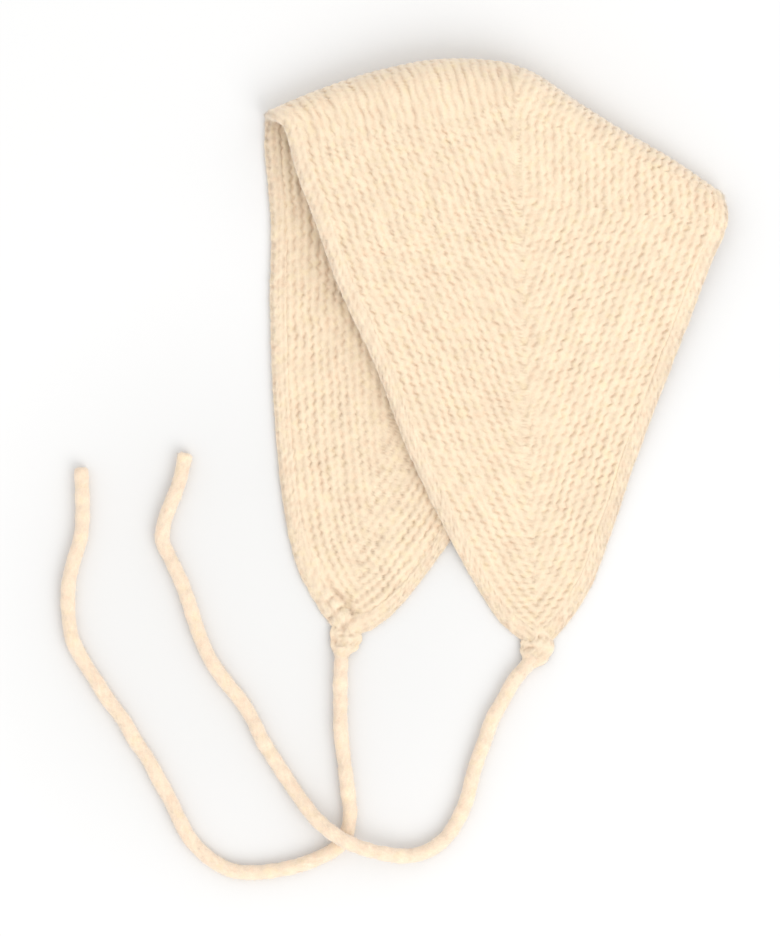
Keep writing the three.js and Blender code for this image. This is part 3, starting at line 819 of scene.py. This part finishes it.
# The ridges sway to and fro by a share of their pitch. At the fold the stitches of both halves are
# counted along the near half's edges, so that they run on over it.
RIDGE_SWAY = 0.13
SWAY_RIGHT = np.array([1.0, 0.4])
SWAY_UP = np.array([-0.3, 1.0])
SWAY_WAVES = (8, 0.030, 0.009)
RIM_SINK = 0.0006
RIM_HOLD = (0.004, 0.012)
RIM_RIDGES = (0.15, 0.6)
OUTER_RELIEF = 0.00044
INNER_RELIEF = 0.00048
MITRE_FADE = 0.0010
FOLD_HOLD = (0.01, 0.12)
NEAR_SIDES = {0: NEAR_FACE.side, 1: NEAR_NAPE.side}
KNIT_FIBRES = 9000
STITCH_SEED = 101
PANEL_ROWS = 182
NEAR_GRID = (PANEL_ROWS, 40, 0.00053)
FAR_GRID = (PANEL_ROWS, 26, 0.00066)


class Sheet:
    """The middle of a panel's wall: its points, their stitches and the normals of the wall.

    A point's ridge is its distance in plan from the nearer edge and its stitch is the length along that
    edge. Near the fold, the length that climbs and so doesn't show in plan is added to the stitches."""

    def __init__(self, panel, rows, bend_steps, step):
        self.panel = panel
        self.index, run, level, self.total = panel_grid(panel, rows, bend_steps, step)
        place = middle_of_wall(panel, run, level)
        self.points = gathered(self.index, place, self.total)
        self.reach = gathered(self.index, run * (1 - level) * NEAR_DROP, self.total)
        spots = self.points[:, :2] - SHIFT
        pair = (NEAR_FACE, NEAR_NAPE) if panel.near else (FAR_FACE, FAR_NAPE)
        (face, face_run), (nape, nape_run) = (measured_from(edge_line(one), spots) for one in pair)
        sway = (waves(61, *SWAY_WAVES)(spots @ SWAY_RIGHT) + waves(62, *SWAY_WAVES)(spots @ SWAY_UP)) / 2
        self.ridge = (np.minimum(face, nape) - EDGING_WIDTH) / RIDGE_PITCH + RIDGE_SWAY * sway

        steps = np.diff(place, axis=1)
        climb = np.linalg.norm(steps, axis=2) - np.linalg.norm(steps[..., :2], axis=2)
        climb = np.concatenate([np.zeros((rows + 1, 1)), np.cumsum(climb, axis=1)], axis=1)
        fold_spots = fold_line(panel.start + (CROWN_SHARE - panel.start) * level[:, 0])
        fold_offset = (fold_spots - panel.corner) @ NEAR_SIDES[panel.start]
        fold_run = measured_from(edge_line(panel), fold_spots)[1]
        way = 1 if panel.near else -1
        at_fold = fold_offset[:, None] + way * (climb - fold_run[:, None])
        at_fold = gathered(self.index, at_fold, self.total) * (1 - smooth(self.reach, *FOLD_HOLD))
        self.stitch = (way * np.where(face < nape, face_run, nape_run) + at_fold) / STITCH_PITCH

        mitre = (CROWN - panel.tip) / np.hypot(*(CROWN - panel.tip))
        aside = (spots - panel.tip) @ np.array([mitre[1], -mitre[0]])
        self.fade = smooth(np.abs(aside) + np.maximum(self.reach - FOLD_HOLD[1], 0), 0, MITRE_FADE)
        self.triangles = grid_triangles(self.index)
        self.normal = normals_of(self.points, self.triangles)
        if (self.normal[:, 2].mean() > 0) != panel.near:
            self.triangles = self.triangles[:, ::-1]
            self.normal = -self.normal


def border_walls(sheet):
    """The triangles that join the outer and the inner face round the border of a sheet."""
    rim, fold, mitre = sheet.index[0], sheet.index[:, 0], sheet.index[:, -1]
    border = np.concatenate([rim, mitre, fold[::-1]])
    a, b = border, np.roll(border, -1)
    a, b = a[a != b], b[a != b]
    edge = (sheet.triangles == a[0]).any(1) & (sheet.triangles == b[0]).any(1)
    first = sheet.triangles[edge][0].tolist()
    if first[(first.index(a[0]) + 1) % 3] != b[0]:
        a, b = b, a
    return np.concatenate([
        np.stack([b, a, a + sheet.total], axis=1),
        np.stack([b, a + sheet.total, b + sheet.total], axis=1),
    ])


def knit(sheet):
    """Gives a sheet its outer and its inner face, each moved out from the middle of the wall by half its
    thickness and by the relief of the stitches, and sunk a little beside the edging. The ridges of the
    inner face lie behind the gaps of the outer one."""
    outer_height, outer_tone = garter(sheet.ridge, sheet.stitch, sheet.fade, STITCH_SEED)
    inner_height, inner_tone = garter(sheet.ridge + 0.5, sheet.stitch + 0.25, sheet.fade, STITCH_SEED + 1)
    # The tip marks add the relief of the chunky stitches and, in the tone, painted shade.
    dip, painted_shade = tip_stitches(sheet.points[:, :2])
    if sheet.panel.near:
        press = 0
        outer_height, outer_tone = outer_height + dip, outer_tone + painted_shade
    else:
        press = smooth(sheet.reach, 0, FOLD_ROUND)
        inner_height, inner_tone = inner_height + dip, inner_tone + painted_shade
    sink = RIM_SINK * (1 - smooth(sheet.ridge, *RIM_RIDGES)) * smooth(sheet.reach, *RIM_HOLD)
    sheet.outer = sheet.points + sheet.normal * (
        WALL / 2 - sink + OUTER_RELIEF * outer_height * (1 - press))[:, None]
    sheet.inner = sheet.points - sheet.normal * (WALL / 2 - sink + INNER_RELIEF * inner_height)[:, None]
    # The height of the relief also sets the colour, darker in the gaps: painted shade.
    sheet.depth = as_share(np.concatenate([outer_height, inner_height]))
    sheet.tone = as_share(np.concatenate([outer_tone, inner_tone]))


def meet(name):
    """Gives the points or normals of that name their mean on each line where two sheets meet."""
    for one, other, side in MEETINGS:
        mine, theirs = getattr(one, name), getattr(other, name)
        line, other_line = one.index[:, side], other.index[:, side]
        mean = (mine[line] + theirs[other_line]) / 2
        mine[line] = mean
        theirs[other_line] = mean


def knitted_panel(name, sheet):
    """One panel as a closed sheet: its outer face, its inner face and a wall round its border."""
    faces = np.concatenate([sheet.triangles, sheet.triangles[:, ::-1] + sheet.total, border_walls(sheet)])
    points = np.concatenate([sheet.outer, sheet.inner])
    points[:, 2] = np.maximum(points[:, 2], 0)
    piece = mesh_piece(name, points, faces, KNIT_WOOL, "knit",
                       normals=np.concatenate([sheet.outer_normal, sheet.inner_normal]),
                       depth=sheet.depth, tone=sheet.tone)
    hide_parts("knit_shell")


# Its gap colour is darker and warmer than its crest colour: painted shade in the gaps.
KNIT_WOOL = wool("knit_wool", (0.725, 0.556, 0.398), (0.855, 0.706, 0.522))
near_front = Sheet(NEAR_FACE, *NEAR_GRID)
near_back = Sheet(NEAR_NAPE, *NEAR_GRID)
far_front = Sheet(FAR_FACE, *FAR_GRID)
far_back = Sheet(FAR_NAPE, *FAR_GRID)
SHEETS = (near_front, near_back, far_front, far_back)

# The two sheets of a half meet at the mitre, where their rows end, and the sheets of the two halves
# meet at the fold, where they start.
MEETINGS = ((near_front, near_back, -1), (far_front, far_back, -1),
            (near_front, far_front, 0), (near_back, far_back, 0))
meet("normal")
for sheet in SHEETS:
    knit(sheet)
meet("outer")
meet("inner")
for sheet in SHEETS:
    sheet.outer_normal = normals_of(sheet.outer, sheet.triangles)
    sheet.inner_normal = normals_of(sheet.inner, sheet.triangles[:, ::-1])
meet("outer_normal")
meet("inner_normal")
shown = [(near_front.outer, near_front.outer_normal), (near_back.outer, near_back.outer_normal),
         (far_front.inner, far_front.inner_normal), (far_back.inner, far_back.inner_normal)]
fuzz("knit_fuzz", *(np.concatenate(parts) for parts in zip(*shown)), KNIT_FIBRES, "knit", 5)
knitted_panel("near_front", near_front)
knitted_panel("near_back", near_back)
knitted_panel("far_front", far_front)
knitted_panel("far_back", far_back)


# The edging is a border 4.6 mm wide, thicker and a little paler than the knitting, worked round the face
# edge and the nape edge from one ear tip over the fold to the other. Its ridges follow on from those of
# the knitting, and are shallower.
EDGING_THICKNESS = 0.0032
EDGING_STEP = 0.0006
EDGING_SIDES = 32
EDGING_LAP = 0.0017
EDGING_RELIEF = 0.0004
EDGING_GARTER = 0.75
EDGING_LUMPS = 0.2
EDGING_UNEVEN = 0.03
EDGING_SHIFT = 0.0008
EDGING_WANDER = (10, 0.05, 0.008)
EDGING_WAVES = (16, 0.011, 0.0028)
WIDE_POWER = 0.9
THICK_POWER = 0.6
FOLD_STATIONS = 30
RIM_SIDE = -0.35
EDGING_FIBRES = 6000


def edge_runs(panel, end):
    """The runs of stations along a panel's edge: close together round the fold, then at equal steps."""
    bend = FOLD_ROUND * float(read(FOLD, ROUND, panel.start))
    turn = np.linspace(0, math.pi / 2, FOLD_STATIONS, endpoint=False)
    flat_reach = np.arange(bend, end * NEAR_DROP, EDGING_STEP)
    return np.concatenate([bend * (1 - np.cos(turn)), flat_reach, [end * NEAR_DROP]]) / NEAR_DROP


def oval(wave, power):
    """A sine or cosine raised to a power with its sign kept, which makes a round section squarer."""
    return (np.sign(wave) * np.abs(wave) ** power)[None, :]


def edging(name, near, far, seed):
    """The border along one edge: rings round its middle line, each a flattened oval whose inner side
    laps into the knitting, moved out by the relief of its stitches."""
    end = 1 - 2 * CLEARANCE / NEAR_DROP
    near_runs, far_runs = edge_runs(near, end)[::-1], edge_runs(far, end)[1:]
    lap = (EDGING_WIDTH + EDGING_LAP) / (EDGING_WIDTH + CLEARANCE)
    rim = np.concatenate([
        middle_of_wall(near, near_runs, np.zeros(near_runs.shape)),
        middle_of_wall(far, far_runs, np.zeros(far_runs.shape))])
    root = np.concatenate([
        middle_of_wall(near, near_runs, lap * rim_level(near, near_runs)),
        middle_of_wall(far, far_runs, lap * rim_level(far, far_runs))])
    centre, across = (rim + root) / 2, (root - rim) / 2
    run = run_along(centre)
    out = unit(np.cross(across, np.gradient(centre, run, axis=0))) * (1 if near.start == 0 else -1)
    half = np.linalg.norm(across, axis=1, keepdims=True)
    across = across / half
    turn = np.linspace(0, 2 * math.pi, EDGING_SIDES, endpoint=False)
    wide, thick = oval(np.cos(turn), WIDE_POWER), oval(np.sin(turn), THICK_POWER)
    wander = waves(seed, *EDGING_WANDER)(run)[:, None]
    stitch = np.broadcast_to(run[:, None] / STITCH_PITCH, (len(run), EDGING_SIDES))
    ridge = (half * (1 + wide) - EDGING_WIDTH) / RIDGE_PITCH
    height, tone = garter(ridge, stitch, np.ones(ridge.shape), seed)
    lumps = waves(seed + 1, *EDGING_WAVES)(run[:, None] + EDGING_SHIFT * np.sin(turn)[None, :])
    facing = unit(np.stack([wide / half, thick / (EDGING_THICKNESS / 2) * np.ones_like(half)], axis=-1))
    plan_points = centre[:, None, :2] + across[:, None, :2] * (half * wide)[..., None]
    seen = (thick > 0) == (out[:, 2:] > 0)
    # The tip marks on the seen side add relief and, in the tone, painted shade.
    dip, painted_shade = tip_stitches(plan_points)
    # This height also sets the colour, darker in the gaps: painted shade.
    height = EDGING_GARTER * height + EDGING_LUMPS * lumps + dip * seen
    tone = tone + painted_shade * seen
    relief = EDGING_RELIEF * height
    reach_wide = half * wide * (1 + EDGING_UNEVEN * wander) + relief * facing[..., 0]
    reach_thick = EDGING_THICKNESS / 2 * thick + relief * facing[..., 1]
    points = rings_about(centre, across, out, reach_wide, reach_thick)
    faces = tube_faces(len(run), EDGING_SIDES)
    if near.start == 0:
        faces = faces[:, ::-1]
    outer = points.reshape(-1, 3)
    piece = mesh_piece(name + "_border", outer, faces, EDGE_WOOL, "edging",
                       depth=as_share(height).ravel(), tone=as_share(tone).ravel())
    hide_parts(name)
    rim_side = np.broadcast_to(wide < RIM_SIDE, points.shape[:2]).ravel()
    fuzz(name + "_fuzz", outer[rim_side], normals_of(outer, faces[:, :3])[rim_side],
         EDGING_FIBRES, "edging", seed)


# Its gap colour is darker and warmer than its crest colour: painted shade in the gaps of the edging and the
# gathered tips.
EDGE_WOOL = wool("edge_wool", (0.735, 0.57, 0.415), (0.865, 0.722, 0.545))
edging("face_edging", NEAR_FACE, FAR_FACE, 31)
edging("nape_edging", NEAR_NAPE, FAR_NAPE, 37)


# Each ear flap ends in a gathered tip: the knitting is drawn together with a few chunky stitches into a
# lump that narrows to the tie. Its ridges and stitches are counted along it and round it.
GATHER_RINGS = 44
GATHER_SIDES = 56
GATHER_RELIEF = 0.0005
GATHER_GARTER = 0.75
GATHER_RIDGES = 3.2
GATHER_STITCHES = 2.4
GATHER_FADE = (0.72, 0.95)
FIRST_RIDGE = 3
FIRST_STITCH = 3
FOLD_RELIEF = 0.00035
FOLD_WAVES = (7, 2.6, 0.6)
FOLD_TURN = 0.6
GATHER_SPLAY = 0.0115
GATHER_BEND = 0.001
GATHER_LAP = 0.0012
GATHER_FIBRES = 500

# Shares of the way from inside the flap to the tie, then the half widths to the left and to the right,
# the half height and the height of the middle.
NEAR_GATHER_FORM = np.array([
    (0.0, 0.0020, 0.0020, 0.0010, 0.0014), (0.22, 0.0046, 0.0062, 0.0013, 0.0015),
    (0.45, 0.0058, 0.0076, 0.0017, 0.0019), (0.65, 0.0056, 0.0068, 0.0022, 0.0024),
    (0.8, 0.0048, 0.0056, 0.0027, 0.0028), (0.9, 0.0038, 0.0042, 0.0029, 0.0030),
    (1.0, 0.0029, 0.0030, 0.0029, 0.0030),
])
FAR_GATHER_FORM = np.array([
    (0.0, 0.0020, 0.0020, 0.0010, 0.0014), (0.22, 0.0048, 0.0048, 0.0013, 0.0015),
    (0.45, 0.0057, 0.0068, 0.0016, 0.0018), (0.65, 0.0050, 0.0064, 0.0020, 0.0022),
    (0.8, 0.0044, 0.0054, 0.0026, 0.0027), (0.9, 0.0036, 0.0038, 0.0029, 0.0030),
    (1.0, 0.0029, 0.0029, 0.0029, 0.0030),
])


def gathered_tip(name, node, form, tip, swing, leaving, axis, seed):
    """A lump of knitting: ovals along a quadratic curve in plan from inside the flap to the tie, with
    lengthwise folds, small stitches and the chunky ones."""
    into = turned(0.0, 1.0, swing)
    start, bend, end = tip + into * GATHER_SPLAY, tip + into * GATHER_BEND, leaving + axis * GATHER_LAP
    share = np.linspace(0, 1, GATHER_RINGS)[:, None]
    line = start * (1 - share) ** 2 + bend * 2 * share * (1 - share) + end * share ** 2
    along = unit((bend - start) * (1 - share) + (end - bend) * share)
    right = np.stack([-along[:, 1], along[:, 0]], axis=1)
    left, right_wide, high, rise = (read(form, column, share) for column in (1, 2, 3, 4))
    around = np.linspace(0, 2 * math.pi, GATHER_SIDES, endpoint=False)[None, :]
    wide = np.where(np.cos(around) > 0, right_wide, left)
    folds = waves(seed, *FOLD_WAVES)(around + FOLD_TURN * share)
    stitch = around * GATHER_STITCHES + np.zeros_like(share)
    ridge = share * GATHER_RIDGES + FIRST_RIDGE + np.zeros(stitch.shape)
    height, tone = garter(ridge, stitch + FIRST_STITCH, np.ones(stitch.shape), seed)
    fading = 1 - smooth(share, *GATHER_FADE)
    # The chunky stitches on the upper side add relief and, in the tone, painted shade.
    dip, painted_shade = tip_stitches(line[:, None, :] + right[:, None, :] * (wide * np.cos(around))[..., None])
    upper = np.sin(around) > 0
    height = GATHER_GARTER * height * fading + dip * upper
    tone = tone + painted_shade * upper
    swell = GATHER_RELIEF * height + FOLD_RELIEF * folds * fading
    flat = line[:, None, :] + right[:, None, :] * ((wide + swell) * np.cos(around))[..., None]
    tall = rise + (high + swell) * np.sin(around)
    points = np.concatenate([flat, tall[..., None]], axis=-1).reshape(-1, 3)
    ends = np.array([[*line[i], float(rise[i, 0])] for i in (0, -1)])
    points = np.vstack([points, ends])
    points[:, 2] = np.maximum(points[:, 2], 0)
    number = np.arange(GATHER_RINGS * GATHER_SIDES).reshape(GATHER_RINGS, GATHER_SIDES)
    beside = np.roll(number, -1, axis=1)
    first, last = len(points) - 2, len(points) - 1
    faces = np.concatenate([
        np.stack([number[:-1], number[1:], beside[1:]], axis=-1).reshape(-1, 3),
        np.stack([number[:-1], beside[1:], beside[:-1]], axis=-1).reshape(-1, 3),
        np.stack([np.full(GATHER_SIDES, first), number[0], beside[0]], axis=-1),
        np.stack([number[-1], np.full(GATHER_SIDES, last), beside[-1]], axis=-1),
    ])
    # The height also sets the colour, darker in the gaps: painted shade.
    depth, shade = (np.append(as_share(value).ravel(), [0.5, 0.5]) for value in (height, tone))
    piece = mesh_piece(name, points, faces, EDGE_WOOL, "gather", depth=depth, tone=shade)
    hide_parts(node)
    fuzz(name + "_fuzz", points, normals_of(points, faces), GATHER_FIBRES, "gather", seed)


gathered_tip("near_gathered_tip", "near_tip_gather", NEAR_GATHER_FORM, NEAR_TIP + SHIFT, NEAR_SWING,
             near_exit, near_axis, 41)
gathered_tip("far_gathered_tip", "far_tip_gather", FAR_GATHER_FORM, FAR_TIP + SHIFT, FAR_SWING,
             far_exit, far_axis, 43)


# The surface under the bonnet is smooth and white. A painted shadow makes it a little greyer round the
# ties, and it fades to pure white away from them.
FLOOR_SIZE = 3.0
FLOOR_SHADE_PLACE = (-0.090, -0.105, 0)
FLOOR_SHADE_REACH = {"From Min": 0.05, "From Max": 0.16}
FLOOR_SHADE = (0.748, 0.750, 0.752, 1)
FLOOR_GREY = (0.805, 0.809, 0.816, 1)
floor_mesh = bpy.data.meshes.new("floor")
floor_mesh.from_pydata(
    [(-FLOOR_SIZE, -FLOOR_SIZE, 0), (FLOOR_SIZE, -FLOOR_SIZE, 0),
     (FLOOR_SIZE, FLOOR_SIZE, 0), (-FLOOR_SIZE, FLOOR_SIZE, 0)], [], [(0, 1, 2, 3)])
floor = add_object("floor", floor_mesh)
floor_paper = bpy.data.materials.new("floor_paper")
floor_paper.use_nodes = True
paper_tree = floor_paper.node_tree
paper = paper_tree.nodes["Principled BSDF"].inputs
paper["Roughness"].default_value = 1
paper["Specular IOR Level"].default_value = 0
paper_place = add_node(paper_tree, "TexCoord")
# Painted shadow: the floor colour goes from the greyer shade near the ties to its own colour further out.
from_ties = add_node(paper_tree, "VectorMath", {1: FLOOR_SHADE_PLACE}, operation="DISTANCE")
blend = add_node(paper_tree, "MapRange", FLOOR_SHADE_REACH, interpolation_type="SMOOTHSTEP")
greys = add_node(paper_tree, "Mix", data_type="RGBA")
greys.inputs[MIX_FIRST].default_value = FLOOR_SHADE
greys.inputs[MIX_SECOND].default_value = FLOOR_GREY
paper_tree.links.new(paper_place.outputs["Object"], from_ties.inputs[0])
paper_tree.links.new(from_ties.outputs["Value"], blend.inputs["Value"])
paper_tree.links.new(blend.outputs["Result"], greys.inputs[MIX_SHARE])
paper_tree.links.new(greys.outputs[MIX_RESULT], paper["Base Color"])
floor_mesh.materials.append(floor_paper)


# A large soft round lamp stands at the lower right and looks at the bonnet. The white room round it
# fills the shadows.
LAMP_PLACE = (1.36, -1.68, 2.16)
LAMP_AIM = (-0.04, -0.04, 0)
LAMP_SIZE = 2.4
LAMP_POWER = 35
LAMP_COLOUR = (1.0, 0.985, 0.96)
ROOM_COLOUR = (1.0, 0.995, 0.985, 1)
ROOM_STRENGTH = 1.04

lamp = bpy.data.lights.new("key_lamp", "AREA")
lamp.shape = "DISK"
lamp.size = LAMP_SIZE
lamp.energy = LAMP_POWER
lamp.color = LAMP_COLOUR
key_lamp = add_object("key_lamp", lamp)
key_lamp.location = LAMP_PLACE
look = np.array(LAMP_AIM) - np.array(LAMP_PLACE)
tilt = math.atan2(math.hypot(look[0], look[1]), -look[2])
key_lamp.rotation_euler = (tilt, 0, math.atan2(look[1], look[0]) - math.pi / 2)
room = bpy.data.worlds.new("room")
room.use_nodes = True
room.node_tree.nodes["Background"].inputs["Color"].default_value = ROOM_COLOUR
room.node_tree.nodes["Background"].inputs["Strength"].default_value = ROOM_STRENGTH
bpy.context.scene.world = room
bpy.context.scene.view_settings.view_transform = "Standard"
bpy.context.scene.view_settings.look = "None"
